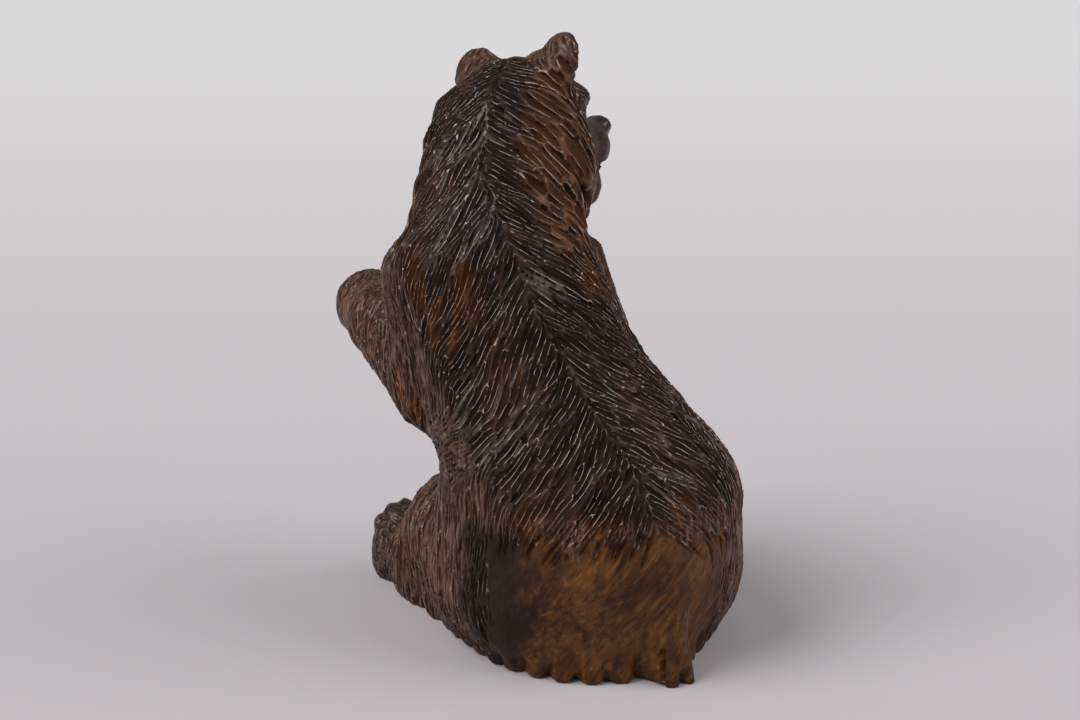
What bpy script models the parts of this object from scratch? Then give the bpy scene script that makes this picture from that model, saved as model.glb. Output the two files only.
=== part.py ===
"""A carved wooden bear, sitting on its rump, with its head turned over its right shoulder."""

import math

import bmesh
import bpy
import numpy as np
from mathutils import Euler, Matrix, Vector
from mathutils.kdtree import KDTree

MM = 0.001

# Driving places and sizes, in millimetres: +X is the bear's left and -Y its front.
SKULL = (12, -34, 156)
HEAD_TURN = -60
HEAD_TILT = 12
HIP_CENTRE = -4
KNEE_OUT = 30
FOOT_OUT = 39
LEFT_PAW = (46, -75.5, 96.5)
RIGHT_PAW = (-28, -66, 54)
RUFF_CREASE = (-9.8, -12, 129.5)

# The torso as a row of round sections from the rump to the nape: centre, radius.
TORSO = (
    ((-3, 2, 4), 35),
    ((-4, 2, 40), 41),
    ((0.5, -1, 56), 38.5),
    ((8, -6, 70), 34.5),
    ((14, -9.5, 85), 32),
    ((18, -12.5, 102), 30),
    ((22, -18, 119), 28),
    ((18.5, -25.5, 138), 26),
)

# The parting of the coat, from the nape down the spine.
PARTING = (
    (28.7, -10, 166),
    (29.9, -5, 149),
    (26.6, 8, 133),
    (20.9, 18, 111),
    (9.8, 30, 88.5),
    (-2, 40, 69),
    (-6.6, 45, 51),
    (-8, 43, 20),
)

# The skin: its grain while it is shaped, and its facets at the end.
ROUGH_VOXEL = 1.6
FINE_VOXEL = 1.1
FAR = 6
FACETS = 9600
CREASE = 60
HEM_HEIGHT = 12
HEM_DEPTH = 2.6
HEM_PITCH = 9
HEM_CENTRE = (-2, -12)

# Locks of fur: gouge cuts this far apart, this wide, long and deep.
LOCK_PITCH = 7
LOCK_WIDTH = 8.5
LOCK_LENGTH = 22
LOCK_DEPTH = 1.8
LOCK_SWELL = 0.9
LOCK_STEP = 2


def smooth_min(a, b, blend):
    """The lower of two distances, with a fillet of this size where they are alike."""
    mix = np.maximum(blend - np.abs(a - b), 0) / blend
    return np.minimum(a, b) - mix * mix * blend / 4


def ball(centre, radii, blend, turn=None):
    """An ellipsoid mass. turn places and turns it with the head or a foot."""
    return {"kind": "ball", "centre": centre, "radii": radii, "blend": blend, "turn": turn}


def limb(start, end, radii, blend, turn=None):
    """A round bar that tapers from one joint to the next."""
    return {"kind": "limb", "start": start, "end": end, "radii": radii, "blend": blend, "turn": turn}


def hollow(centre, radii, blend, turn=None):
    """An ellipsoid that is cut out of the masses before it."""
    return ball(centre, radii, blend, turn) | {"kind": "hollow"}


def placed(mass, key):
    place = Vector(mass[key])
    if mass["turn"] is not None:
        place = mass["turn"] @ place
    return place


def distance_to_ball(points, mass):
    turn = np.array((mass["turn"] or Matrix.Identity(4)).to_3x3())
    local = (points - np.array(placed(mass, "centre"))) @ turn
    radii = np.array(mass["radii"], float)
    near = np.linalg.norm(local / radii, axis=1)
    slope = np.linalg.norm(local / radii**2, axis=1)
    return near * (near - 1) / np.maximum(slope, 1e-6)


def distance_to_limb(points, mass):
    start, end = np.array(placed(mass, "start")), np.array(placed(mass, "end"))
    first, last = mass["radii"]
    axis = end - start
    length = np.linalg.norm(axis)
    lean = (first - last) / length
    rise = math.sqrt(max(1 - lean * lean, 0))
    along = (points - start) @ (axis / length)
    out = np.linalg.norm(points - start - np.outer(along, axis / length), axis=1)
    share = np.clip((along + out * lean / rise) / length, 0, 1)
    centre = start + np.outer(share, axis)
    return np.linalg.norm(points - centre, axis=1) - (first + (last - first) * share)


def reach(mass):
    """A ball that holds the mass and its fillet: centre and radius."""
    if mass["kind"] == "limb":
        start, end = placed(mass, "start"), placed(mass, "end")
        return (start + end) / 2, (end - start).length / 2 + max(mass["radii"]) + mass["blend"] + FAR
    return placed(mass, "centre"), max(mass["radii"]) + mass["blend"] + FAR


def form(points, masses):
    """The signed distance to the whole figure, right wherever it is under FAR."""
    total = np.full(len(points), float(FAR))
    for mass in masses:
        centre, radius = reach(mass)
        near = np.nonzero(((points - np.array(centre)) ** 2).sum(1) < radius * radius)[0]
        distance = distance_to_limb if mass["kind"] == "limb" else distance_to_ball
        one = distance(points[near], mass)
        if mass["kind"] == "hollow":
            total[near] = -smooth_min(-total[near], one, mass["blend"])
        else:
            total[near] = smooth_min(total[near], one, mass["blend"])
    return total


def slope_of(points, masses, step=0.25):
    corners = np.array(((1, 1, 1), (1, -1, -1), (-1, 1, -1), (-1, -1, 1)), float)
    slope = sum(np.outer(form(points + corner * step, masses), corner) for corner in corners)
    return slope / (4 * step)


def torso():
    chain = [limb(a, b, (ra, rb), 7) for (a, ra), (b, rb) in zip(TORSO, TORSO[1:])]
    belly = ball((2, -16, 56), (33, 31, 32), 8)
    chest = ball((21, -30, 106), (24, 20, 24), 8)
    flank = ball((-15, 7, 50), (32, 32, 26), 6)
    tail = limb((-14, 36.5, 17), (-15.5, 40, -4), (5.5, 6.5), 5)
    return chain + [belly, chest, flank, tail]


def head_place():
    turn = Euler((0, math.radians(HEAD_TILT), math.radians(HEAD_TURN))).to_matrix().to_4x4()
    return Matrix.Translation(SKULL) @ turn


def ear(side, at):
    """A round ear, cupped to the front and leaning outwards."""
    lean = Euler((math.radians(24), math.radians(18 * side), math.radians(20 * side))).to_matrix().to_4x4()
    place = at @ Matrix.Translation((16.4 * side, -9, 20)) @ lean
    return [
        ball((0, 0, 0), (8.3, 4.4, 10.4), 4, place),
        ball((-3.2 * side, 0.5, -5), (9.4, 5.4, 7.8), 3, place),
        hollow((0.6 * side, -4.8, 1.2), (5.8, 3.7, 7.2), 1, place),
    ]


def head():
    at = head_place()
    masses = [
        ball((0, 0, 0), (23.5, 26, 22), 8, at),
        ball((0, -4, 13.5), (13, 12, 10), 5, at),
        ball((0, -12, 9.5), (17.6, 13.8, 10), 6, at),
        limb((0, -16, -5), (0, -35, -7), (13, 8.8), 6, at),
        limb((0, -12, -15), (0, -31, -19.5), (12, 6.5), 5, at),
        ball((0, -6, -20), (17, 16, 14), 6, at),
        ball((0, -43, -1.7), (5.5, 3.6, 3.9), 1.5, at),
    ]
    for side in (1, -1):
        masses += [
            ball((14.5 * side, -3, -11), (11, 14, 15), 6, at),
            ball((9.6 * side, -21.4, 8.8), (6.5, 5, 3.8), 3, at),
            hollow((9.5 * side, -23.5, 3.6), (4.8, 4, 3.8), 2, at),
            ball((9.2 * side, -20.2, 3.6), (3.2, 3.2, 3.2), 0.5, at),
        ]
    masses.append(hollow((0, -37, -14.4), (13, 11.5, 1.8), 1, at))
    for side in (1, -1):
        masses.append(hollow((3 * side, -46.5, -3), (1.7, 2.4, 1.6), 0.5, at))
        masses += ear(side, at)
    masses.append(hollow(RUFF_CREASE, (5.5, 10, 3.4), 1.5))
    return masses


def hind_leg(side):
    """A thigh and shin that lie along the floor, and a foot that stands up on its heel."""
    knee = (HIP_CENTRE + KNEE_OUT * side, -38, 28)
    foot = (HIP_CENTRE + FOOT_OUT * side, -75, 9)
    masses = [
        limb((HIP_CENTRE + 20 * side, 2, 26), knee, (27, 18), 8),
        ball((HIP_CENTRE + 26 * side, -14, 20), (22, 34, 24), 8),
        ball((HIP_CENTRE + 29 * side, -8, 42), (17.5, 26, 22), 8),
        limb((HIP_CENTRE + 21 * side, 4, 6), (HIP_CENTRE + 35 * side, -56, 6), (15, 14), 5),
        limb(knee, (HIP_CENTRE + 36 * side, -62, 12), (18, 13), 6),
    ]
    at = Matrix.Translation(foot) @ Euler((math.radians(-8), 0, math.radians(-6 * side))).to_matrix().to_4x4()
    masses.append(ball((0, 0, 0), (12.5, 9.5, 16), 4, at))
    for toe in range(-2, 3):
        angle = math.radians(26 * toe)
        tip = Vector((10 * math.sin(angle), -3, 13.5 * math.cos(angle)))
        masses.append(ball(tip, (3.3, 6.5, 3.8), 1, at))
        masses.append(limb(tip + Vector((0, -4.5, 0)), tip + Vector((0, -7.5, -4)), (2, 1.3), 0.5, at))
    return masses


def paw(place, turn, size):
    """The end of a fore leg: a pad with five knuckles, each with a claw."""
    at = Matrix.Translation(place) @ Euler([math.radians(angle) for angle in turn]).to_matrix().to_4x4()
    masses = [ball((0, 0, 0), size, 5, at)]
    for toe in range(-2, 3):
        tip = Vector((size[0] * 0.4 * toe, -size[1] * (0.8 - 0.07 * toe * toe), -3))
        masses.append(ball(tip, (2.9, 5, 4.6), 1, at))
        masses.append(limb(tip + Vector((0, -3, -2)), tip + Vector((0, -3, -6.5)), (2, 1.3), 0.5, at))
    return masses


def fore_legs():
    elbow = (37, -32, 78)
    masses = [
        limb((40.5, -23, 115), elbow, (16.5, 13), 4),
        limb(elbow, (45.5, -62, 93.5), (13.5, 12), 4),
        limb((38, -33, 76), (37, -29, 66), (10, 4.5), 3),
    ]
    masses += paw(LEFT_PAW, (8, 0, -30), (11.5, 12, 11.5))
    elbow = (-20, -34, 80)
    masses += [
        limb((-2.5, -28, 112), elbow, (15.8, 12.5), 4),
        limb(elbow, (-25, -58, 60), (12, 10), 4),
    ]
    return masses + paw(RIGHT_PAW, (28, 0, -6), (10.5, 11.5, 8.5))


def all_masses():
    return torso() + head() + hind_leg(1) + hind_leg(-1) + fore_legs()


def add_mass(mesh, mass):
    """One mass as a closed mesh, for the rough figure that is then drawn onto the blended form."""
    if mass["kind"] == "ball":
        turn = (mass["turn"] or Matrix.Identity(4)).to_3x3().to_4x4()
        place = Matrix.Translation(placed(mass, "centre")) @ turn @ Matrix.Diagonal((*mass["radii"], 1))
        bmesh.ops.create_icosphere(mesh, subdivisions=3, radius=1, matrix=place)
        return
    bar = bmesh.new()
    for key, radius in zip(("start", "end"), mass["radii"]):
        place = Matrix.Translation(placed(mass, key))
        bmesh.ops.create_icosphere(bar, subdivisions=2, radius=radius, matrix=place)
    hull = bmesh.ops.convex_hull(bar, input=bar.verts[:])
    bmesh.ops.delete(bar, geom=list(set(hull["geom_interior"] + hull["geom_unused"])), context="VERTS")
    data = bpy.data.meshes.new("bar")
    bar.to_mesh(data)
    bar.free()
    mesh.from_mesh(data)
    bpy.data.meshes.remove(data)


def finished(bear, kind, settings):
    """The object's mesh with one modifier applied, put in place of its old mesh."""
    modifier = bear.modifiers.new(kind.lower(), kind)
    for name, value in settings.items():
        setattr(modifier, name, value)
    graph = bpy.context.evaluated_depsgraph_get()
    skin = bpy.data.meshes.new_from_object(bear.evaluated_get(graph))
    bear.modifiers.clear()
    bear.data = skin


def rough_figure(masses):
    """The solid masses joined into one skin of even squares."""
    shape = bmesh.new()
    for mass in masses:
        if mass["kind"] != "hollow":
            add_mass(shape, mass)
    data = bpy.data.meshes.new("bear")
    shape.to_mesh(data)
    shape.free()
    bear = bpy.data.objects.new("bear", data)
    carving = bpy.data.collections.new("black forest bear carving")
    bpy.context.scene.collection.children.link(carving)
    carving.objects.link(bear)
    finished(bear, "REMESH", {"mode": "VOXEL", "voxel_size": ROUGH_VOXEL})
    return bear


def read_points(mesh):
    places = np.empty(len(mesh.vertices) * 3, np.float32)
    mesh.vertices.foreach_get("co", places)
    return places.reshape(-1, 3).astype(float)


def write_points(mesh, points):
    mesh.vertices.foreach_set("co", points.astype(np.float32).ravel())
    mesh.update()


def onto_form(points, masses, rounds):
    """The points moved onto the figure's surface, and the way out of it at each."""
    for _ in range(rounds):
        slope = slope_of(points, masses)
        size = np.maximum((slope**2).sum(1), 0.25)
        points = points - slope * (np.clip(form(points, masses), -2, 2) / size)[:, None]
    slope = slope_of(points, masses)
    return points, slope / np.maximum(np.linalg.norm(slope, axis=1), 1e-6)[:, None]


def level(vectors):
    """The vectors without their height, each one long."""
    flat = vectors * (1, 1, 0)
    return flat / np.maximum(np.linalg.norm(flat, axis=1), 1e-6)[:, None]


def ramp(values, low, high):
    """0 below low, 1 above high, and a soft step between."""
    share = np.clip((values - low) / (high - low), 0, 1)
    return share * share * (3 - 2 * share)


def side_of_parting(points):
    """How far round the body each point lies from the parting, in millimetres: left is above 0."""
    line, axis = np.array(PARTING[::-1], float), np.array([centre for centre, _ in TORSO] + [SKULL], float)
    heights = points[:, 2]
    part = np.stack([np.interp(heights, line[:, 2], line[:, i]) for i in (0, 1)], axis=1)
    core = np.stack([np.interp(heights, axis[:, 2], axis[:, i]) for i in (0, 1)], axis=1)
    ahead, here = part - core, points[:, :2] - core
    across = here[:, 0] * ahead[:, 1] - here[:, 1] * ahead[:, 0]
    turned = np.arctan2(across, (here * ahead).sum(1))
    return turned * np.linalg.norm(here, axis=1)


def coat_flow(points, outward):
    """The way the fur lies: down the body and away from the parting."""
    side = side_of_parting(points)
    left = ramp(side, -2, 2)
    far = np.abs(side)
    low_flank = ramp(points[:, 2], 105, 80) * ramp(far, 12, 30)
    left_lean = np.radians(36) * (1 - ramp(far, 30, 50)) + np.radians(26) * low_flank * (1 - ramp(far, 40, 60))
    right_lean = -np.radians(52) * (1 - 0.8 * ramp(far, 15, 45))
    lean = left_lean * left + right_lean * (1 - left)
    lean *= ramp(points[:, 2], 20, 50)
    sideways = np.cross(level(outward), (0, 0, -1))
    flow = np.cos(lean)[:, None] * np.array((0, 0, -1.0)) + np.sin(lean)[:, None] * -sideways
    flow -= outward * (flow * outward).sum(1)[:, None]
    return flow / np.maximum(np.linalg.norm(flow, axis=1), 1e-6)[:, None]


def lock_places(points, rng):
    """Places about LOCK_PITCH apart, picked from the points in a mixed order."""
    kept = []
    cells = {}
    for i in rng.permutation(len(points)):
        cell = tuple(np.floor(points[i] / LOCK_PITCH).astype(int))
        around = [cells.get((cell[0] + a, cell[1] + b, cell[2] + c)) for a in (-1, 0, 1) for b in (-1, 0, 1)
                  for c in (-1, 0, 1)]
        near = [j for j in around if j is not None and np.linalg.norm(points[i] - points[j]) < LOCK_PITCH]
        if near or cell in cells:
            continue
        cells[cell] = i
        kept.append(i)
    return points[kept]


def furry(points):
    """1 where the coat is long, 0 on the face, paws, feet and the rump's flat."""
    at = np.array(head_place().inverted())
    in_head = points @ at[:3, :3].T + at[:3, 3]
    face = ramp(in_head[:, 1], -8, -18) * ramp(points[:, 2], 125, 135)
    ears = ramp(in_head[:, 2], 14, 18) * ramp(points[:, 2], 125, 135)
    feet = ramp(points[:, 1], -60, -66) * ramp(points[:, 2], 40, 35)
    paws = ramp(points[:, 1], -58, -64) * ramp(points[:, 2], 40, 44)
    rump = ramp(points[:, 2], 48, 40) * ramp(points[:, 1], 5, 15)
    return (1 - face) * (1 - ears) * (1 - feet) * (1 - paws) * (1 - rump)


def cut_locks(points, outward, masses):
    """Each lock is one long gouge cut, which follows the coat down from where it starts."""
    rng = np.random.default_rng(7)
    cutter = lock_places(points[furry(points) > 0.5], rng)
    tree = KDTree(len(points))
    for i, place in enumerate(points):
        tree.insert(place, i)
    tree.balance()
    depth = np.zeros(len(points))
    steps = int(LOCK_LENGTH / LOCK_STEP)
    for step in range(steps):
        cutter, out = onto_form(cutter, masses, 1)
        strength = LOCK_DEPTH * math.sin(math.pi * (step + 1) / (steps + 1)) ** 0.6
        for place in cutter:
            for _, i, away in tree.find_range(place, LOCK_WIDTH / 2):
                depth[i] = max(depth[i], strength * (1 - (2 * away / LOCK_WIDTH) ** 2))
        cutter = cutter + coat_flow(cutter, out) * LOCK_STEP
    return points + outward * ((LOCK_SWELL - depth) * furry(points))[:, None]


def cut_hem(points, outward):
    """Notches round the foot of the coat, where it meets the ground."""
    around = np.arctan2(points[:, 1] - HEM_CENTRE[1], points[:, 0] - HEM_CENTRE[0])
    reach_out = np.linalg.norm(points[:, :2] - HEM_CENTRE, axis=1)
    turns = np.round(2 * math.pi * 44 / HEM_PITCH)
    notch = np.abs(np.cos(around * turns / 2)) ** 6
    low = 1 - ramp(points[:, 2], 2, HEM_HEIGHT)
    behind = ramp(points[:, 1], -58, -50) * ramp(reach_out, 18, 26)
    return points - level(outward) * (HEM_DEPTH * notch * low * behind)[:, None]


def cut_flat(bear):
    """The underside, cut level where the bear stands."""
    shape = bmesh.new()
    shape.from_mesh(bear.data)
    everything = shape.verts[:] + shape.edges[:] + shape.faces[:]
    bmesh.ops.bisect_plane(shape, geom=everything, plane_no=(0, 0, 1), clear_inner=True)
    rim = [edge for edge in shape.edges if edge.is_boundary]
    bmesh.ops.holes_fill(shape, edges=rim)
    bmesh.ops.triangulate(shape, faces=[face for face in shape.faces if len(face.verts) > 4])
    shape.to_mesh(bear.data)
    shape.free()


def stand_on_origin(bear):
    """The bear in metres, with the origin on the ground under the middle of it."""
    points = read_points(bear.data)
    low, high = points.min(0), points.max(0)
    middle = (low + high) / 2
    bear.data.transform(Matrix.Scale(MM, 4) @ Matrix.Translation((-middle[0], -middle[1], -low[2])))


def stained_wood():
    wood = bpy.data.materials.new("dark stained wood")
    wood.use_nodes = True
    shader = wood.node_tree.nodes["Principled BSDF"]
    shader.inputs["Base Color"].default_value = (0.045, 0.026, 0.017, 1)
    shader.inputs["Roughness"].default_value = 0.42
    shader.inputs["Metallic"].default_value = 0
    return wood


def main():
    for thing in list(bpy.data.objects):
        bpy.data.objects.remove(thing)
    masses = all_masses()
    bear = rough_figure(masses)
    write_points(bear.data, onto_form(read_points(bear.data), masses, 4)[0])
    finished(bear, "REMESH", {"mode": "VOXEL", "voxel_size": FINE_VOXEL})
    points, outward = onto_form(read_points(bear.data), masses, 3)
    points = cut_locks(points, outward, masses)
    write_points(bear.data, cut_hem(points, outward))
    cut_flat(bear)
    facets = sum(len(face.vertices) - 2 for face in bear.data.polygons)
    finished(bear, "DECIMATE", {"ratio": FACETS / facets, "use_collapse_triangulate": True})
    stand_on_origin(bear)
    bear.data.shade_smooth()
    bear.data.set_sharp_from_angle(angle=math.radians(CREASE))
    bear.data.materials.clear()
    bear.data.materials.append(stained_wood())
    return bear


if __name__ == "__main__":
    main()
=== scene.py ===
"""A carved wooden bear in a pale studio: its gouged fur, its stain, painted shade and highlights and varnish,
the lights and the camera.
"""

import math
from collections import deque

import bmesh
import bpy
import numpy as np
from mathutils import Euler, Matrix, Vector
from mathutils.kdtree import KDTree


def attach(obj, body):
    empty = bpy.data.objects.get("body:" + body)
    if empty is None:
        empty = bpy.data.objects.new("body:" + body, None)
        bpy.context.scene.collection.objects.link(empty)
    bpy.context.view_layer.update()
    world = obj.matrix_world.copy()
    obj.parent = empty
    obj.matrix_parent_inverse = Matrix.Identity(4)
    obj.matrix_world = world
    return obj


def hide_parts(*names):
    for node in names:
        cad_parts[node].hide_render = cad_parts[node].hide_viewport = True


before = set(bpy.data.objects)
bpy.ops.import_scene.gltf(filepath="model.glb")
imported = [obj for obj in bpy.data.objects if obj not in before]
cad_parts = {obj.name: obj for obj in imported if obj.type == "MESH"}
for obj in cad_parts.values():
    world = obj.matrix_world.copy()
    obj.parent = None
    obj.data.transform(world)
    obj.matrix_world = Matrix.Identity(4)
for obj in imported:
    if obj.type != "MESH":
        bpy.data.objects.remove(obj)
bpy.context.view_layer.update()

MM = 0.001

# The carving is worked in millimetres from the bear's own zero, which lies here in the frame.
ZERO = np.array((-1.02, 22.23, 0.03))

# Where the bear's forms are: +X is its left and -Y its front.
SKULL = (12, -34, 156)
HEAD_TURN = -60
HEAD_TILT = 12
SPINE = ((-3, 2, 4), (-4, 2, 40), (0.5, -1, 56), (8, -6, 70), (14, -9.5, 85), (18, -12.5, 102),
         (22, -18, 119), (18.5, -25.5, 138), SKULL)
PARTING = ((28.7, -10, 166), (29.9, -5, 149), (26.6, 8, 133), (20.9, 18, 111), (9.8, 30, 88.5), (-2, 40, 69),
           (-6.6, 45, 51), (-8, 43, 20))
LEFT_ELBOW = (37, -30, 66)
LEFT_ARM = ((37, -32, 78), (45.5, -62, 93.5))
RIGHT_ARM = ((-20, -34, 80), (-25, -58, 60))
FEET = ((35, -75, 9), (-43, -75, 9))
FOOT_SIZE = (13.5, 11, 17)

# The face, as the head sees it: the fur runs away from the nose's root.
NOSE_ROOT = (0, -44, -3)
NOSE_TIP = (0, -43, -1.7)
NOSE_SIZE = (5.5, 3.6, 3.9)
EYES = ((9.2, -20.2, 3.6), (-9.2, -20.2, 3.6))
EYE_RADIUS = 3.5
MOUTH = (0, -37, -14.4)
MOUTH_SIZE = (13, 11.5, 1.8)

# Deep gaps that are opened one by one: both ends, half the width and the depth.
GAPS = (((48.2, -14, 86), (46.6, -10, 74), 1.7, 1.8), ((46.6, -10, 74), (44.3, -4, 67), 1.1, 1.2),
        ((44.9, -6, 69), (41.5, 6.6, 66), 0.8, 0.8), ((43.9, -10, 65), (39.8, 10.3, 62), 0.8, 0.7),
        ((-9.8, 41.2, 11), (-9.3, 41.8, 0), 1.3, 2.4), ((2.6, -7.9, 152), (-2, -9.6, 144), 1.1, 1.8),
        ((-2.4, -9.3, 148), (-6.2, -12, 138), 1.2, 2), ((0.9, -5.8, 142), (-3, -8, 132), 1.1, 1.6))
# The slots in the hem are cut round this place on the ground.
HEM_CENTRE = (-2, -12)
HEM_LOBES = 31

# Where amber wood shows through the stain: each place and its radius.
AMBER = ((45, 0, 117, 17), (24, 9, 131, 9), (2, -3, 137, 10), (1, 7, 121, 9), (48, -22, 80, 15),
         (10, 40, 52, 10), (28, 28, 47, 10), (-18, 39, 54, 9), (46, 2, 103, 12))
# Where painted sheen lies pale on whole strands, and the ridges' painted highlights are wider.
PAINTED_SHEEN_SPOTS = ((40, -1, 136, 19), (39, -14, 153, 15), (27, -12, 167, 13), (36, 15, 77, 24),
        (-12, 41, 60, 12), (20, 8, 118, 12))
# Where the skin folds across the waist.
WAIST = ((44, 0, 69, 18),)
# Where painted shade lies dark above the rump.
PAINTED_SHADE_ABOVE_RUMP = ((9.5, 39, 58, 9),)

# The size of the skin's squares before they are split.
GRAIN = 0.85
# How often the skin is eased before and after the split.
EASE_ROUNDS = 30
SPLIT_ROUNDS = 4
KEPT_TRIANGLES = 196000
# How strongly a point's weight counts when triangles are thinned, and the weight of one on a line.
LINE_WORTH = 0.05
LINE_WEIGHT = 0.2
# How near to a ridge a point counts as on it.
AT_RIDGE = 0.06

# How far the gouge moves between marks, and the fewest marks that make a cut.
STEP = 0.8
SHORTEST = 5
# How near a new cut may start to another and run beside it, as shares of the spacing there.
ROOM_TO_START = 0.86
ROOM_BESIDE = 0.46
# How many random numbers are at hand for the cuts.
WHIMS = 4000000
# How much of a cut's depth the wood between cuts swells by.
STAND = 0.5
# How near to a valley or ridge a point has to be to be drawn onto it.
SNAP = 0.22
# How far a cut reaches to the next one, and how far off that one may be.
MEET = 0.56
WIDEST_GAP = 3
# How far a cut's valley lies toward its upper side, and which way that side faces.
UNDERCUT = 0.35
UPPER_SIDE = (0.35, 0, 1)
# Cut wood lower than this is pressed flat onto the ground.
FLAT_BELOW = 0.35

# The photograph's view: the bear from behind and a little from its left.
VIEW_AZIMUTH = 160
VIEW_RISE = 15
VIEW_DISTANCE = 0.65
VIEW_TARGET = (0.0087, 0.0102, 0.09)
LENS = 70
FLOOR_RADIUS = 8


def ramp(values, low, high):
    """0 below low, 1 above high, and a soft step between."""
    share = np.clip((values - low) / (high - low), 0, 1)
    return share * share * (3 - 2 * share)


def unit(vectors):
    return vectors / np.maximum(np.linalg.norm(vectors, axis=-1, keepdims=True), 1e-9)


def sway(points, length, seed):
    """A slow wander from -1 to 1 over the surface, about this long from crest to crest."""
    rng = np.random.default_rng(seed)
    ways = unit(rng.normal(size=(5, 3))) * (2 * math.pi / length) * rng.uniform(0.6, 1.4, (5, 1))
    return np.sin(points @ ways.T + rng.uniform(0, 2 * math.pi, 5)).mean(axis=1) * 1.6


def head_turn():
    return np.array(Euler((0, math.radians(HEAD_TILT), math.radians(HEAD_TURN))).to_matrix())


def in_head(points):
    """The points as the head sees them: its own -Y is the way it faces."""
    return (points - SKULL) @ head_turn()


def near_place(points, place, size):
    """How far each point is from the middle of a ball or an egg of this size, whose skin lies at 1."""
    return np.linalg.norm((points - place) / size, axis=1)


def near_eyes(head):
    """How far each point is from each eye's middle."""
    return [np.linalg.norm(head - eye, axis=1) for eye in EYES]


def near_line(points, start, end):
    """How far each point is from a straight line between two places."""
    start, end = np.array(start, float), np.array(end, float)
    share = np.clip((points - start) @ (end - start) / ((end - start) @ (end - start)), 0, 1)
    return np.linalg.norm(points - start - np.outer(share, end - start), axis=1)


def side_of_parting(points):
    """How far round the body each point lies from the parting, in millimetres: left is above 0."""
    line, axis = np.array(PARTING[::-1], float), np.array(SPINE, float)
    heights = points[:, 2]
    part = np.stack([np.interp(heights, line[:, 2], line[:, i]) for i in (0, 1)], axis=1)
    core = np.stack([np.interp(heights, axis[:, 2], axis[:, i]) for i in (0, 1)], axis=1)
    ahead, here = part - core, points[:, :2] - core
    across = here[:, 0] * ahead[:, 1] - here[:, 1] * ahead[:, 0]
    return np.arctan2(across, (here * ahead).sum(1)) * np.linalg.norm(here, axis=1)


def spots(points, places):
    """How deep each point lies in the nearest of these round patches, from 0 to 1."""
    within = [ramp(np.linalg.norm(points - place[:3], axis=1), place[3], 0.35 * place[3]) for place in places]
    return np.max(within, axis=0)


def gaps_near(points):
    """How deep the gaps, the eyes' rims and the hem's slots are at each point, and how dark painted shade
    makes them and the mouth, from 0 to 1.
    """
    depth, dark = np.zeros(len(points)), np.zeros(len(points))
    for start, end, width, deep in GAPS:
        share = ramp(near_line(points, start, end), width, 0.2 * width)
        depth, dark = np.maximum(depth, share * deep), np.maximum(dark, share)
    head = in_head(points)
    rim = np.max([ramp(np.abs(near - EYE_RADIUS - 0.5), 0.8, 0.2) for near in near_eyes(head)], axis=0)
    slit = ramp(near_place(head, MOUTH, MOUTH_SIZE), 1.35, 1.05)
    depth, dark = np.maximum(depth, 0.7 * rim), np.max((dark, 0.85 * rim, 0.9 * slit), axis=0)
    around = np.arctan2(points[:, 1] - HEM_CENTRE[1], points[:, 0] - HEM_CENTRE[0])
    behind = ramp(points[:, 1], -58, -50) * ramp(np.linalg.norm(points[:, :2] - HEM_CENTRE, axis=1), 18, 26)
    low = ramp(points[:, 2] + sway(points, 9, 4), 6.5, 2)
    slot = np.abs(np.cos(around * HEM_LOBES / 2)) ** 30 * low * behind
    slot *= 0.3 + 0.7 * ramp(sway(points, 22, 6), -0.4, 0.4)
    return np.maximum(depth, 1.3 * slot), np.maximum(dark, slot)


class Regions:
    """How much each point belongs to each part of the coat, from 0 to 1."""

    def __init__(self, points):
        head = in_head(points)
        high = ramp(points[:, 2], 122, 132)
        self.height = points[:, 2]
        self.side = side_of_parting(points)
        self.far = np.abs(self.side)
        self.left = ramp(self.side, -1.5, 1.5)
        self.head = high
        self.face = ramp(head[:, 1], -8, -18) * high
        self.snout = ramp(head[:, 1], -22, -30) * high * ramp(np.abs(head[:, 0]), 16, 11)
        tip = ramp(near_place(head, NOSE_TIP, NOSE_SIZE), 1.35, 1.15)
        eyes = [ramp(near, EYE_RADIUS + 0.4, EYE_RADIUS) for near in near_eyes(head)]
        self.bare = np.max((tip, *eyes), axis=0) * high
        self.ears = ramp(head[:, 2], 17, 22) * ramp(np.abs(head[:, 0]), 8, 11) * high
        self.cheek = high * (1 - self.left) * ramp(self.far, 6, 16) * (1 - self.face) * (1 - self.ears)
        self.left_arm = ramp(near_line(points, *LEFT_ARM), 20, 13) * ramp(points[:, 2], 58, 64)
        right_arm = ramp(near_line(points, *RIGHT_ARM), 17, 12)
        self.arms = np.maximum(self.left_arm, right_arm)
        self.paws = self.arms * ramp(points[:, 1], -60, -66) * ramp(points[:, 2], 40, 44)
        foot = [ramp(near_place(points, place, FOOT_SIZE), 1.35, 1.1) for place in FEET]
        self.feet = np.maximum(*foot) * ramp(points[:, 1], -64, -67)
        ragged = 3.2 * sway(points, 5, 8) + 2 * sway(points, 17, 9)
        self.rump = ramp(points[:, 2] + ragged, 47, 45) * ramp(points[:, 1], 8, 14)
        self.rump = self.rump * ramp(points[:, 0], 39, 36) * ramp(points[:, 0], -38, -30)
        self.shade = ramp(points[:, 0] + ragged, 25, 31) * ramp(points[:, 1], 4, 10)
        self.shade = self.shade * ramp(points[:, 2], 52, 44)
        self.shade = np.maximum(self.shade, 0.8 * spots(points, PAINTED_SHADE_ABOVE_RUMP))
        self.low = ramp(points[:, 2], 58, 48) * (1 - self.feet)
        flank = ramp(self.far, 40, 52) * (1 - high)
        parts = (self.low * (1 - self.rump), self.arms * (1 - self.paws), flank, 0.7 * self.ears)
        self.fine = np.max(parts, axis=0)


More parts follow.
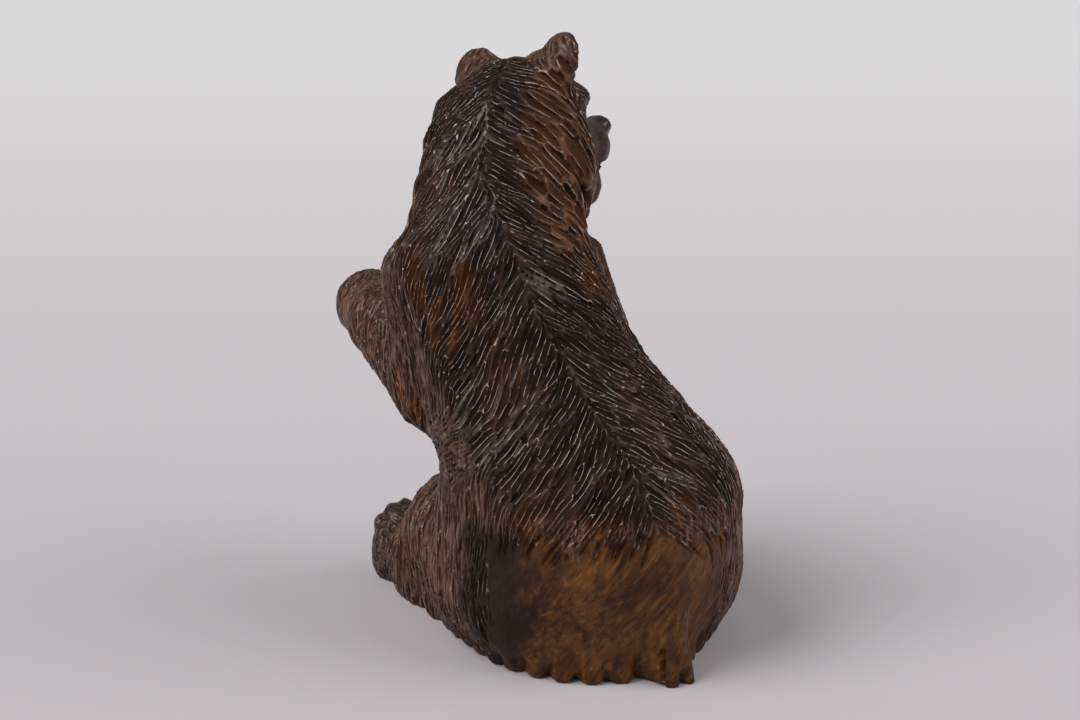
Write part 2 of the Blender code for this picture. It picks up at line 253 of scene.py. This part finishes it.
def lie_of_coat(points, outward, regions):
    """The way the fur lies: down the body and away from the parting, with small bends."""
    low_flank = ramp(regions.height, 105, 80) * ramp(regions.far, 12, 30)
    left_lean = 24 * (1 - ramp(regions.far, 30, 50)) + 12 * low_flank * (1 - ramp(regions.far, 40, 60))
    right_lean = -52 * (1 - 0.8 * ramp(regions.far, 15, 45))
    lean = left_lean * regions.left + right_lean * (1 - regions.left)
    lean = lean * ramp(regions.height, 20, 50) * (1 - regions.arms)
    lean = lean + (68 - lean) * spots(points, WAIST) * regions.left
    lean += 13 * sway(points, 20, 1) * ramp(regions.height, 45, 60) + 7 * sway(points, 9, 2)
    lean = np.radians(lean)[:, None]
    flat = unit(outward * (1, 1, 0))
    sideways = np.cross(flat, (0, 0, -1))
    flow = np.cos(lean) * np.array((0, 0, -1.0)) - np.sin(lean) * sideways + 0.2 * flat
    head = in_head(points)
    from_nose = unit(head - NOSE_ROOT) @ head_turn().T
    flow = flow + (from_nose - flow) * regions.face[:, None]
    to_elbow = unit(np.array(LEFT_ELBOW) - points)
    flow = flow + to_elbow * (0.6 * regions.left_arm * ramp(regions.height, 105, 90))[:, None]
    flow = flow + (sideways - flow) * (0.85 * regions.feet)[:, None]
    flow = flow - outward * (flow * outward).sum(1)[:, None]
    return unit(flow)


def plan_of_cuts(points, regions):
    """How far apart the cuts lie, how long and how deep they are, at each point: millimetres."""
    pitch = np.full(len(points), 1.6)
    length = np.full(len(points), 18.0)
    depth = np.full(len(points), 0.95)

    def put(where, new_pitch, new_length, new_depth):
        pitch[:] += (new_pitch - pitch) * where
        length[:] += (new_length - length) * where
        depth[:] += (new_depth - depth) * where

    body = 1 - regions.head
    flats = body * regions.left * ramp(regions.far, 8, 16) * ramp(regions.far, 48, 38)
    put(flats * ramp(regions.height, 48, 56) * ramp(regions.height, 96, 86), 1.9, 20, 1.1)
    put(regions.head * regions.left * ramp(regions.far, 6, 12), 1.3, 20, 0.75)
    put(regions.cheek, 2.6, 16, 1.4)
    put(body * ramp(regions.far, 40, 52), 1.3, 13, 0.6)
    put(regions.low * (1 - regions.rump), 1.25, 13, 0.6)
    put(regions.arms, 1.25, 13, 0.6)
    put(regions.paws, 1.3, 5, 0.3)
    put(regions.feet, 1.15, 5, 0.4)
    put(regions.face, 1.4, 7, 0.4)
    put(regions.snout, 1.1, 4, 0.16)
    put(regions.ears, 1.4, 6, 0.4)
    put(regions.bare, 1.4, 6, 0.02)
    put(regions.rump, 1.5, 6, 0.08)
    return pitch, length, depth


def read_points(mesh):
    places = np.empty(len(mesh.vertices) * 3, np.float32)
    mesh.vertices.foreach_get("co", places)
    return places.reshape(-1, 3).astype(float)


def write_points(mesh, points):
    mesh.vertices.foreach_set("co", points.astype(np.float32).ravel())
    mesh.update()


def read_outward(mesh):
    ways = np.empty(len(mesh.vertices) * 3, np.float32)
    mesh.vertex_normals.foreach_get("vector", ways)
    return ways.reshape(-1, 3).astype(float)


def read_edges(mesh):
    ends = np.empty(len(mesh.edges) * 2, np.int32)
    mesh.edges.foreach_get("vertices", ends)
    return ends.reshape(-1, 2)


def sum_beside(ends, values):
    """For each point, the sum of these values over the points that an edge joins it to."""
    one, other = ends.T
    return np.bincount(one, values[other], len(values)) + np.bincount(other, values[one], len(values))


def finished(piece, kind, **settings):
    """The piece's mesh with one modifier applied, put in place of its old mesh."""
    modifier = piece.modifiers.new(kind.lower(), kind)
    for name, value in settings.items():
        setattr(modifier, name, value)
    graph = bpy.context.evaluated_depsgraph_get()
    skin = bpy.data.meshes.new_from_object(piece.evaluated_get(graph))
    piece.modifiers.clear()
    old, piece.data = piece.data, skin
    bpy.data.meshes.remove(old)


def eased(mesh, rounds):
    """Takes the facets' edges off without thinning the form: in, and then out a little more, each round."""
    ends, points = read_edges(mesh), read_points(mesh)
    meets = np.bincount(ends.ravel(), minlength=len(points))[:, None]
    for share in (0.5, -0.53) * rounds:
        near = np.stack([sum_beside(ends, points[:, i]) for i in range(3)], axis=1)
        points += share * (near / meets - points)
    write_points(mesh, points)


def split(mesh):
    """Each small square of the skin into four, eased again so that the new ones follow its curve."""
    shape = bmesh.new()
    shape.from_mesh(mesh)
    bmesh.ops.subdivide_edges(shape, edges=shape.edges, cuts=1, use_grid_fill=True)
    shape.to_mesh(mesh)
    shape.free()
    eased(mesh, SPLIT_ROUNDS)


def smooth_figure(node):
    """A copy of the solid as an even skin of small squares, without its facets."""
    shape = bmesh.new()
    shape.from_mesh(node.data)
    bmesh.ops.remove_doubles(shape, verts=shape.verts, dist=0.001 * MM)
    bmesh.ops.scale(shape, vec=(1 / MM,) * 3, verts=shape.verts)
    bmesh.ops.translate(shape, vec=-Vector(ZERO), verts=shape.verts)
    mesh = bpy.data.meshes.new("carved_bear")
    shape.to_mesh(mesh)
    shape.free()
    piece = bpy.data.objects.new("carved_bear", mesh)
    bpy.context.scene.collection.objects.link(piece)
    finished(piece, "REMESH", mode="VOXEL", voxel_size=GRAIN)
    eased(piece.data, EASE_ROUNDS)
    return piece


class Marks:
    """The gouge's marks, one every step along each cut: its place, its way, its half width and its depth."""

    # The side of the cells that marks are found by.
    CELL = 2.4

    def __init__(self):
        self.rows = []
        self.cells = {}
        self.cuts = 0

    def crowded(self, place, room):
        """Whether a mark already lies nearer than this."""
        x, y, z = place
        cx, cy, cz = int(x // self.CELL), int(y // self.CELL), int(z // self.CELL)
        room *= room
        for i in (cx - 1, cx, cx + 1):
            for j in (cy - 1, cy, cy + 1):
                for k in (cz - 1, cz, cz + 1):
                    for a, b, c in self.cells.get((i, j, k), ()):
                        if (a - x) * (a - x) + (b - y) * (b - y) + (c - z) * (c - z) < room:
                            return True
        return False

    def add(self, run, width, depth, blunt=0.7):
        """One cut, which swells from a fine start and runs out to a fine end."""
        for number, (place, way, out) in enumerate(run):
            swell = math.sin(math.pi * (number + 0.7) / (len(run) + 0.4)) ** blunt
            self.rows.append((*place, *way, *out, width * (0.35 + 0.65 * swell), depth * swell, self.cuts))
            cell = tuple(int(value // self.CELL) for value in place)
            self.cells.setdefault(cell, []).append(tuple(place))
        self.cuts += 1

    def table(self):
        """The marks as columns. The way across a cut points to its upper side."""
        rows = np.asarray(self.rows)
        place, way, out, cut = rows[:, :3], rows[:, 3:6], rows[:, 6:9], rows[:, 11].astype(int)
        across = unit(np.cross(out, way))
        rise = np.bincount(cut, across @ UPPER_SIDE)
        across[rise[cut] < 0] *= -1
        table = {"place": place, "way": way, "out": out, "across": across, "depth": rows[:, 10], "cut": cut}
        upper, lower = met_widths(table, rows[:, 9])
        shift = UNDERCUT * upper
        table["place"] = place + across * shift[:, None]
        table["upper"], table["lower"] = upper - shift, lower + shift
        return table


def cut_coat(points, outward, regions, marks):
    """Cuts laid side by side along the coat, each as near to the last as the plan says."""
    flow = lie_of_coat(points, outward, regions)
    pitch, length, depth = plan_of_cuts(points, regions)
    tree = KDTree(len(points))
    for i, place in enumerate(points):
        tree.insert(place, i)
    tree.balance()
    places = [Vector(place) for place in points]
    outs = [Vector(way) for way in outward]
    ways = [Vector(way) for way in flow]
    rng = np.random.default_rng(3)
    whims = iter(rng.random(WHIMS))

    def onto_skin(place):
        _, i, _ = tree.find(place)
        return place - outs[i] * (place - places[i]).dot(outs[i]), i

    def walk(place, sense, limit, swing):
        run = []
        last = None
        for _ in range(int(limit / STEP)):
            place, i = onto_skin(place)
            way = (ways[i] + outs[i].cross(ways[i]) * swing) * sense
            if last is not None and way.dot(last) < 0.3:
                break
            if run and marks.crowded(place, pitch[i] * ROOM_BESIDE):
                break
            if place.z < 0.3:
                break
            run.append((place, way * sense, outs[i]))
            last = way
            place = place + way * STEP
        return run

    waiting = deque()
    for first in rng.permutation(len(points)):
        waiting.append(places[first])
        while waiting:
            place, i = onto_skin(waiting.popleft())
            if outs[i].z < -0.75 and place.z < 3:
                continue
            if marks.crowded(place, pitch[i] * ROOM_TO_START):
                continue
            reach = length[i] * (0.7 + 0.9 * next(whims))
            swing = (next(whims) - 0.5) * 0.1
            share = next(whims)
            down = walk(place, 1, reach * share, swing)
            up = walk(place, -1, reach * (1 - share), swing)
            run = up[:0:-1] + down
            if len(run) < SHORTEST:
                continue
            marks.add(run, pitch[i] * (0.56 + 0.1 * next(whims)), depth[i] * (0.7 + 0.5 * next(whims)))
            for spot, way, out in run[::3]:
                aside = out.cross(way) * pitch[i] * (0.95 + 0.2 * next(whims))
                waiting.append(spot + aside)
                waiting.append(spot - aside)


def pairs_near(points, places, reach):
    """Each mark with every point in its cell and the cells round it, a block of cells at a time."""
    low = np.minimum(points.min(0), places.min(0)) - reach
    size = np.ceil((np.maximum(points.max(0), places.max(0)) + reach - low) / reach).astype(np.int64) + 1
    weights = np.array((size[1] * size[2], size[2], 1))
    keys = np.floor((points - low) / reach).astype(np.int64) @ weights
    order = np.argsort(keys, kind="stable")
    keys = keys[order]
    cells = np.floor((places - low) / reach).astype(np.int64) @ weights
    for i in (-1, 0, 1):
        for j in (-1, 0, 1):
            for k in (-1, 0, 1):
                wanted = cells + np.array((i, j, k)) @ weights
                first = np.searchsorted(keys, wanted, "left")
                count = np.searchsorted(keys, wanted, "right") - first
                mark = np.repeat(np.arange(len(places)), count)
                if len(mark):
                    rank = np.arange(len(mark)) - np.repeat(np.cumsum(count) - count, count)
                    yield mark, order[first[mark] + rank]


def met_widths(table, usual):
    """Half widths above and below each mark that reach a little past half way to the next cut."""
    gaps = np.full((2, len(usual)), 9.0)
    for mark, other in pairs_near(table["place"], table["place"], WIDEST_GAP):
        apart = table["place"][other] - table["place"][mark]
        across = np.einsum("ij,ij->i", apart, table["across"][mark])
        along = np.abs(np.einsum("ij,ij->i", apart, table["way"][mark]))
        same = np.einsum("ij,ij->i", table["out"][other], table["out"][mark])
        kept = (table["cut"][mark] != table["cut"][other]) & (along < STEP * 0.8) & (same > 0.3)
        for side in (0, 1):
            there = kept & ((across > 0.1) if side == 0 else (across < -0.1))
            np.minimum.at(gaps[side], mark[there], np.abs(across[there]))
    return np.clip(gaps * MEET, 0.65 * usual, 1.45 * usual)


def bites(points, outward, rows):
    """Every mark that reaches a point, a block at a time: mark, point, place across the cut, depth there."""
    widths = np.maximum(rows["upper"], rows["lower"])
    for narrow in (True, False):
        some = np.nonzero((widths < 1.2) == narrow)[0]
        if not len(some):
            continue
        widest = max(widths[some].max(), STEP) + 0.1
        for mark, point in pairs_near(points, rows["place"][some], widest):
            mark = some[mark]
            gap = points[point] - rows["place"][mark]
            across = np.einsum("ij,ij->i", gap, rows["across"][mark])
            across = across / np.where(across > 0, rows["upper"][mark], rows["lower"][mark])
            along = np.abs(np.einsum("ij,ij->i", gap, rows["way"][mark]))
            lift = np.abs(np.einsum("ij,ij->i", gap, rows["out"][mark]))
            same = np.einsum("ij,ij->i", outward[point], rows["out"][mark])
            kept = (np.abs(across) < 1) & (along < STEP * 0.75) & (lift < 2.5) & (same > 0.2)
            mark, point, across = mark[kept], point[kept], across[kept]
            yield mark, point, across, rows["depth"][mark] * (1 - across * across)


def deepest_of(points, outward, rows, unlike=None):
    """The mark that cuts each point deepest, of another cut than unlike's where that is given."""
    deepest = np.zeros(len(points))
    place = np.zeros(len(points))
    best = np.full(len(points), -1)
    for mark, point, across, bite in bites(points, outward, rows):
        if unlike is not None:
            other = rows["cut"][mark] != rows["cut"][unlike[point]]
            mark, point, across, bite = mark[other], point[other], across[other], bite[other]
        np.maximum.at(deepest, point, bite)
        top = bite >= deepest[point] - 1e-9
        best[point[top]] = mark[top]
        place[point[top]] = across[top]
    return deepest, place, best


def fall(rows, best, place):
    """How fast a cut gets shallower across itself, as a vector for each point."""
    width = np.where(place > 0, rows["upper"][best], rows["lower"][best])
    steep = -2 * rows["depth"][best] * place / width
    return rows["across"][best] * np.where(best < 0, 0, steep)[:, None]


def ridges_near(points, outward, rows, deepest, place, best):
    """How far each point is from its cut's nearest ridge, the way that leads there, and how sharp it is."""
    second, rival_place, rival = deepest_of(points, outward, rows, best)
    apart = fall(rows, best, place) - fall(rows, rival, rival_place)
    steep = np.maximum(np.linalg.norm(apart, axis=1), 0.05)
    return (deepest - second) / steep, -apart / steep[:, None], steep


def onto_lines(points, outward, rows):
    """The points drawn sideways onto the nearest valley or ridge, and how deep each is cut there."""
    deepest, place, best = deepest_of(points, outward, rows)
    to_ridge, toward, _ = ridges_near(points, outward, rows, deepest, place, best)
    slope = fall(rows, best, place)
    to_valley = place * np.where(place > 0, rows["upper"][best], rows["lower"][best])
    ridge = (best >= 0) & (to_ridge < SNAP) & (np.abs(place) > 0.35)
    valley = (best >= 0) & ~ridge & (np.abs(to_valley) < SNAP)
    move = np.where(ridge, to_ridge, 0)[:, None] * toward
    move -= np.where(valley, to_valley, 0)[:, None] * rows["across"][best]
    deepest = np.where(valley, rows["depth"][best], deepest + (move * slope).sum(1) * ridge)
    return points + move, deepest, ridge | valley


def carve(piece):
    """Cuts the fur into the smooth figure, and says where the gouge went."""
    mesh = piece.data
    points, outward = read_points(mesh), read_outward(mesh)
    marks = Marks()
    cut_coat(points, outward, Regions(points), marks)
    split(mesh)
    points, outward = read_points(mesh), read_outward(mesh)
    points, depth, on_line = onto_lines(points, outward, marks.table())
    regions = Regions(points)
    _, _, usual = plan_of_cuts(points, regions)
    stand = STAND * usual * ramp(points[:, 2], 0.5, 4) - 0.4 * regions.rump + 0.3 * regions.bare
    points = points + outward * (stand - depth - gaps_near(points)[0])[:, None]
    points[:, 2] = np.where(points[:, 2] < FLAT_BELOW, 0, points[:, 2])
    write_points(mesh, points)
    triangles = 2 * len(mesh.polygons)
    thin = piece.vertex_groups.new(name="thin")
    thin.add(np.nonzero(on_line)[0].tolist(), LINE_WEIGHT, "REPLACE")
    thin.add(np.nonzero(~on_line)[0].tolist(), 1, "REPLACE")
    finished(piece, "DECIMATE", ratio=KEPT_TRIANGLES / triangles, use_collapse_triangulate=True,
             vertex_group="thin", vertex_group_factor=LINE_WORTH)
    piece.vertex_groups.clear()
    return marks


def note(mesh, name, values):
    """One number for each point of the skin, which the finish reads by name."""
    attribute = mesh.attributes.new(name, "FLOAT", "POINT")
    attribute.data.foreach_set("value", np.asarray(values, np.float32))


def note_coat(piece, marks):
    """What the stain, the painted shade and highlights and the varnish follow: ridges, strands and the
    regions of the coat.
    """
    mesh = piece.data
    points, outward = read_points(mesh), read_outward(mesh)
    rows = marks.table()
    depth, place, best = deepest_of(points, outward, rows)
    to_ridge, _, sharp = ridges_near(points, outward, rows, depth, place, best)
    regions = Regions(points)
    tints = np.random.default_rng(5).random(marks.cuts)
    note(mesh, "cut_depth", depth)
    note(mesh, "cut_side", place)
    note(mesh, "to_ridge", np.where(best < 0, 0.3, np.clip(to_ridge - AT_RIDGE, 0, 2)))
    _, _, usual = plan_of_cuts(points, regions)
    ridges_beside = sum_beside(read_edges(mesh), (best >= 0) & (to_ridge < 0.2))
    crest = ramp(sharp, 0.35, 1.3) * ramp(depth / usual, 0.75, 0.45)
    crest *= 0.25 + 0.75 * ramp(depth / usual, 0.01, 0.12)
    crest *= (0.4 + 0.6 * ramp(regions.far, 0.8, 2.4)) * (1 - 0.85 * regions.snout) * (1 - regions.bare)
    note(mesh, "crest", np.where((best < 0) | (ridges_beside < 1) | (ridges_beside > 3), 0, crest))
    note(mesh, "gap", gaps_near(points)[1])
    note(mesh, "strand", np.where(best < 0, 0.5, tints[rows["cut"][best]]))
    note(mesh, "amber", spots(points, AMBER))
    note(mesh, "pale", spots(points, PAINTED_SHEEN_SPOTS))
    note(mesh, "spine", ramp(regions.far, 14, 3) * ramp(regions.height, 50, 60))
    for name in ("rump", "shade", "cheek", "fine", "feet", "bare"):
        note(mesh, name, getattr(regions, name))


class Sum:
    """A number on a surface that ordinary sums work on, each as a Math node."""

    def __init__(self, finish, socket):
        self.finish = finish
        self.socket = socket

    def __add__(self, other):
        return self.finish.maths("ADD", self, other)

    def __sub__(self, other):
        return self.finish.maths("SUBTRACT", self, other)

    def __rsub__(self, other):
        return self.finish.maths("SUBTRACT", other, self)

    def __mul__(self, other):
        return self.finish.maths("MULTIPLY", self, other)

    __radd__ = __add__
    __rmul__ = __mul__


class Finish:
    """A material that is built node by node."""

    def __init__(self, name):
        self.material = bpy.data.materials.new(name)
        self.material.use_nodes = True
        self.tree = self.material.node_tree
        self.shader = self.tree.nodes["Principled BSDF"]

    def node(self, kind, settings=None, sockets=None, output=0):
        """A node of this kind, with its settings made first and then its sockets filled or linked."""
        made = self.tree.nodes.new("ShaderNode" + kind)
        for name, value in (settings or {}).items():
            setattr(made, name, value)
        for key, value in (sockets or {}).items():
            self.fill(made.inputs[key], value)
        return Sum(self, made.outputs[output])

    def fill(self, socket, value):
        if isinstance(value, Sum):
            self.tree.links.new(value.socket, socket)
        else:
            socket.default_value = value

    def maths(self, operation, first, second):
        return self.node("Math", {"operation": operation}, {0: first, 1: second})

    def noted(self, name):
        return self.node("Attribute", {"attribute_name": name}, output="Fac")

    def eased(self, value, low, high):
        """0 below low, 1 above high, and a soft step between."""
        settings = {"interpolation_type": "SMOOTHSTEP"}
        return self.node("MapRange", settings, {"Value": value, "From Min": low, "From Max": high})

    def blend(self, share, first, second):
        """One colour over another, by this share."""
        return self.node("Mix", {"data_type": "RGBA"}, {0: share, 6: first, 7: second}, output=2)

    def grain(self, size, stretch=(1, 1, 1), turn=(0, 0, 0), detail=3, rough=0.55):
        """Noise of this size in metres on the object, drawn out along an axis and then turned."""
        place = self.node("TexCoord", output="Object")
        sockets = {"Vector": place, "Rotation": turn, "Scale": stretch}
        laid = self.node("Mapping", {"vector_type": "TEXTURE"}, sockets)
        sockets = {"Vector": laid, "Scale": 1 / size, "Detail": detail, "Roughness": rough}
        return self.node("TexNoise", None, sockets)

    def striae(self, place):
        """Fine lines along a cut: noise that only changes with the place across it."""
        return self.node("TexNoise", {"noise_dimensions": "1D"}, {"W": place, "Scale": 1, "Detail": 2})

    def set(self, **values):
        """Puts values or links on the shader's own sockets."""
        for name, value in values.items():
            self.fill(self.shader.inputs[name.replace("_", " ").title()], value)


def colour(red, green, blue):
    """A colour as it is read off a screen, from 0 to 255, in the light that the renderer counts."""
    share = np.array((red, green, blue)) / 255
    light = np.where(share < 0.04045, share / 12.92, ((share + 0.055) / 1.055) ** 2.4)
    return (*light, 1)


# The stains and the painted shade, sheen and highlights, from the darkest gaps to the pale edges.
GAP_SHADE_BLACK, UNDERCUT_SHADE_BLACK, VALLEY_STAIN_AND_SHADE = colour(8, 4, 3), colour(3, 2, 2), colour(12, 7, 5)
NOSE_BLACK, LINE_DARK, STREAK_DARK = colour(14, 10, 9), colour(22, 14, 10), colour(30, 20, 16)
STRAND_DARK, SHADE_DARK, SPINE_DARK = colour(26, 16, 12), colour(32, 19, 18), colour(40, 35, 35)
DARK_BROWN, BROWN, FEET_DARK = colour(50, 34, 26), colour(80, 53, 38), colour(40, 37, 28)
CHEEK_BROWN, FINE_BROWN, AMBER_WOOD = colour(130, 88, 58), colour(110, 79, 64), colour(120, 68, 20)
RUMP_BROWN, RUMP_GOLD = colour(68, 39, 20), colour(112, 69, 27)
SCRATCH_DARK, SCRATCH_PALE = colour(40, 23, 14), colour(146, 96, 46)
STREAK_PALE, PAINTED_SHEEN_GREY = colour(150, 116, 98), colour(128, 114, 108)
RIDGE_WEAR_AND_HIGHLIGHT, DULL_RIDGE_WEAR_AND_HIGHLIGHT = colour(228, 208, 194), colour(162, 134, 118)

# The rump is brushed this far off upright.
BRUSHED = (0, math.radians(-40), 0)


def varnished_wood():
    """Dark stain and painted shade in the cuts, pale wear and painted highlights on the ridges, painted sheen
    on some strands, amber where wood shows, and a satin varnish.
    """
    wood = Finish("stained_varnished_wood")
    depth, side, to_ridge = wood.noted("cut_depth"), wood.noted("cut_side"), wood.noted("to_ridge")
    strand, rump, shade = wood.noted("strand"), wood.noted("rump"), wood.noted("shade")
    feet, spine, cheek = wood.noted("feet"), wood.noted("spine"), wood.noted("cheek")
    sharp, gap, pale = wood.noted("crest"), wood.noted("gap"), wood.noted("pale")
    fine, bare = wood.noted("fine"), wood.noted("bare")
    cloud = wood.grain(0.030, stretch=(1, 1, 1.8), detail=2)
    patch = wood.grain(0.008, stretch=(1, 1, 2.5), detail=4)
    fleck = wood.grain(0.0035, stretch=(1, 1, 2), detail=3)
    fibre = wood.grain(0.0009, stretch=(1, 1, 12), detail=4, rough=0.7)
    scratch = wood.grain(0.0014, stretch=(1, 1, 9), turn=BRUSHED, detail=4)
    blotch = wood.grain(0.013, stretch=(1, 1, 1.6), turn=BRUSHED, detail=3)
    streak = wood.grain(0.0011, stretch=(1, 1, 14), detail=3)
    lines = wood.striae(side * 4 + strand * 23 + fleck * 1.5)

    # The stain of each part of the coat.
    base = wood.blend(wood.eased(cloud, 0.35, 0.65), DARK_BROWN, BROWN)
    base = wood.blend(cheek * 0.6, base, CHEEK_BROWN)
    base = wood.blend(fine * 0.6, base, FINE_BROWN)
    amber = wood.noted("amber") * wood.eased(patch, 0.42, 0.6)
    base = wood.blend(amber * 0.7, base, AMBER_WOOD)
    base = wood.blend(spine * 0.6, base, SPINE_DARK)
    golden = wood.blend(wood.eased(blotch, 0.3, 0.7), RUMP_BROWN, RUMP_GOLD)
    golden = wood.blend(wood.eased(scratch, 0.54, 0.62) * 0.55, golden, SCRATCH_DARK)
    golden = wood.blend(wood.eased(scratch, 0.44, 0.38) * 0.4, golden, SCRATCH_PALE)
    base = wood.blend(rump, base, golden)
    base = wood.blend(feet * 0.7, base, FEET_DARK)
    # Painted shade between the thigh and the rump, and above the rump.
    base = wood.blend(shade * 0.85, base, SHADE_DARK)
    base = wood.blend(wood.eased(strand, 0.5, 1) * 0.5, base, STRAND_DARK)

    # What darkens the cuts: stain that gathers there, and painted shade.
    relief = wood.eased(depth, 0.08, 0.4)
    # Painted shade on the steep upper wall of each cut, just under the ridge above.
    painted_undercut_shade = wood.eased(side, 0, 0.7) * wood.eased(to_ridge, 0.05, 0.16) * relief
    # Darker valley floors: partly stain that gathers there, partly painted shade.
    floor = wood.eased(to_ridge, 0.12, 0.45) * relief
    base = wood.blend(floor * 0.5, base, VALLEY_STAIN_AND_SHADE)
    base = wood.blend(painted_undercut_shade * 0.85, base, UNDERCUT_SHADE_BLACK)
    base = wood.blend(wood.eased(lines, 0.5, 0.68) * 0.4, base, LINE_DARK)
    base = wood.blend(fine * wood.eased(streak, 0.5, 0.64) * 0.55, base, STREAK_DARK)
    base = wood.blend(fine * (1 - shade) * wood.eased(streak, 0.48, 0.34) * 0.45, base, STREAK_PALE)

    # What is pale: painted sheen on whole strands in some places, and wear with painted highlights on the
    # ridges.
    # Painted sheen on whole strands.
    painted_sheen = pale * wood.eased(strand, 0.45, 0.75) * wood.eased(side, 0.3, -0.2) * wood.eased(fleck, 0.35, 0.55)
    base = wood.blend(painted_sheen * 0.38, base, PAINTED_SHEEN_GREY)
    wear_and_glint = 0.3 + 0.7 * wood.eased(cloud + strand * 0.35 + fleck * 0.6, 0.5, 0.95)
    reach = 0.2 + 0.25 * strand * wood.eased(fleck, 0.4, 0.6) + 0.1 * pale
    near = 0.55 * wood.eased(to_ridge, reach, 0.06) + 0.45 * wood.eased(to_ridge, 0.12, 0)
    # The ridges' pale lines: wear and painted highlights.
    crest = near * sharp * wear_and_glint * (1 - gap) * (1 - rump)
    edge = wood.blend(fine * 0.8 + cheek * 0.3, RIDGE_WEAR_AND_HIGHLIGHT, DULL_RIDGE_WEAR_AND_HIGHLIGHT)
    base = wood.blend(crest * 0.9, base, edge)

    # The eyes and the nose, and painted shade in the gaps, the eyes' rims, the mouth and the hem's slots.
    base = wood.blend(bare * 0.85, base, NOSE_BLACK)
    base = wood.blend(gap * 0.85, base, GAP_SHADE_BLACK)

    # The varnish lies on the strands and ridges, and hardly in the cuts.
    gloss = 0.34 + 0.18 * wood.eased(patch, 0.3, 0.7) + 0.1 * rump - 0.15 * bare
    varnish = 0.3 * (1 - painted_undercut_shade) * (1 - floor) * (1 - gap) + 0.35 * crest + 0.3 * painted_sheen + 0.6 * bare
    height = lines * 0.8 + fibre * 0.3 + scratch * rump * 1.5
    bump = wood.node("Bump", None, {"Strength": 0.55, "Distance": 0.0002, "Height": height})
    wood.set(base_color=base, roughness=gloss, normal=bump, coat_weight=varnish)
    wood.shader.inputs["Coat Roughness"].default_value = 0.2
    wood.shader.inputs["Specular IOR Level"].default_value = 0.05
    return wood.material


def dress(piece, marks):
    """The carving in metres, in its place in the frame, riding on the body that it replaces."""
    mesh = piece.data
    note_coat(piece, marks)
    mesh.transform(Matrix.Scale(MM, 4) @ Matrix.Translation(Vector(ZERO)))
    mesh.shade_smooth()
    mesh.materials.clear()
    mesh.materials.append(varnished_wood())
    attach(piece, "root")
    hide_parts("bear")


def paper():
    """A pale matt paper with a faint tooth, and painted shade that makes it a little darker near the bear
    than far behind it.
    """
    sheet = Finish("pale_paper")
    tooth = sheet.grain(0.002, detail=4)
    place = sheet.node("TexCoord", output="Object")
    behind = away(VIEW_AZIMUTH, 0)
    depth = sheet.node("VectorMath", {"operation": "DOT_PRODUCT"}, {0: place, 1: -behind}, output="Value")
    # Painted shade: the paper darker toward the camera, lighter far behind.
    tone = sheet.blend(sheet.eased(depth, -0.3, 1.6), colour(196, 190, 193), colour(222, 220, 221))
    tone = sheet.blend(tooth * 0.06, tone, colour(150, 146, 148))
    sheet.set(base_color=tone)
    sheet.shader.inputs["Roughness"].default_value = 0.8
    sheet.shader.inputs["Specular IOR Level"].default_value = 0.1
    return sheet.material


def studio():
    """A wide pale floor, two broad soft lights from either side, and an even sky."""
    disc = bmesh.new()
    bmesh.ops.create_circle(disc, cap_ends=True, segments=96, radius=FLOOR_RADIUS)
    mesh = bpy.data.meshes.new("studio_floor")
    disc.to_mesh(mesh)
    disc.free()
    mesh.materials.append(paper())
    floor = bpy.data.objects.new("studio_floor", mesh)
    bpy.context.scene.collection.objects.link(floor)
    world = bpy.data.worlds.new("even_sky")
    world.use_nodes = True
    world.node_tree.nodes["Background"].inputs["Color"].default_value = (0.97, 0.98, 1, 1)
    world.node_tree.nodes["Background"].inputs["Strength"].default_value = 0.29
    bpy.context.scene.world = world
    soft_light("left_light", azimuth=95, elevation=48, spread=40, strength=2.1)
    soft_light("right_light", azimuth=235, elevation=40, spread=45, strength=1.1)


def away(azimuth, elevation):
    """The way from the bear to a camera or a light at this azimuth and elevation."""
    turn, rise = math.radians(azimuth), math.radians(elevation)
    return Vector((math.sin(turn) * math.cos(rise), -math.cos(turn) * math.cos(rise), math.sin(rise)))


def look_from(thing, way, distance, target):
    thing.location = Vector(target) + way * distance
    thing.rotation_euler = way.to_track_quat("Z", "Y").to_euler()
    bpy.context.scene.collection.objects.link(thing)


def soft_light(name, azimuth, elevation, spread, strength):
    """A far light as broad as this many degrees, so that it falls evenly over the floor."""
    lamp = bpy.data.lights.new(name, "SUN")
    lamp.angle = math.radians(spread)
    lamp.energy = strength
    look_from(bpy.data.objects.new(name, lamp), away(azimuth, elevation), VIEW_DISTANCE, VIEW_TARGET)


def camera():
    eye = bpy.data.cameras.new("camera")
    eye.lens = LENS
    eye.sensor_width = 36
    seat = bpy.data.objects.new("camera", eye)
    look_from(seat, away(VIEW_AZIMUTH, VIEW_RISE), VIEW_DISTANCE, VIEW_TARGET)
    bpy.context.scene.camera = seat


def main():
    piece = smooth_figure(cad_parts["bear"])
    marks = carve(piece)
    dress(piece, marks)
    studio()
    camera()
    bpy.context.scene.view_settings.view_transform = "Standard"


if __name__ == "__main__":
    main()
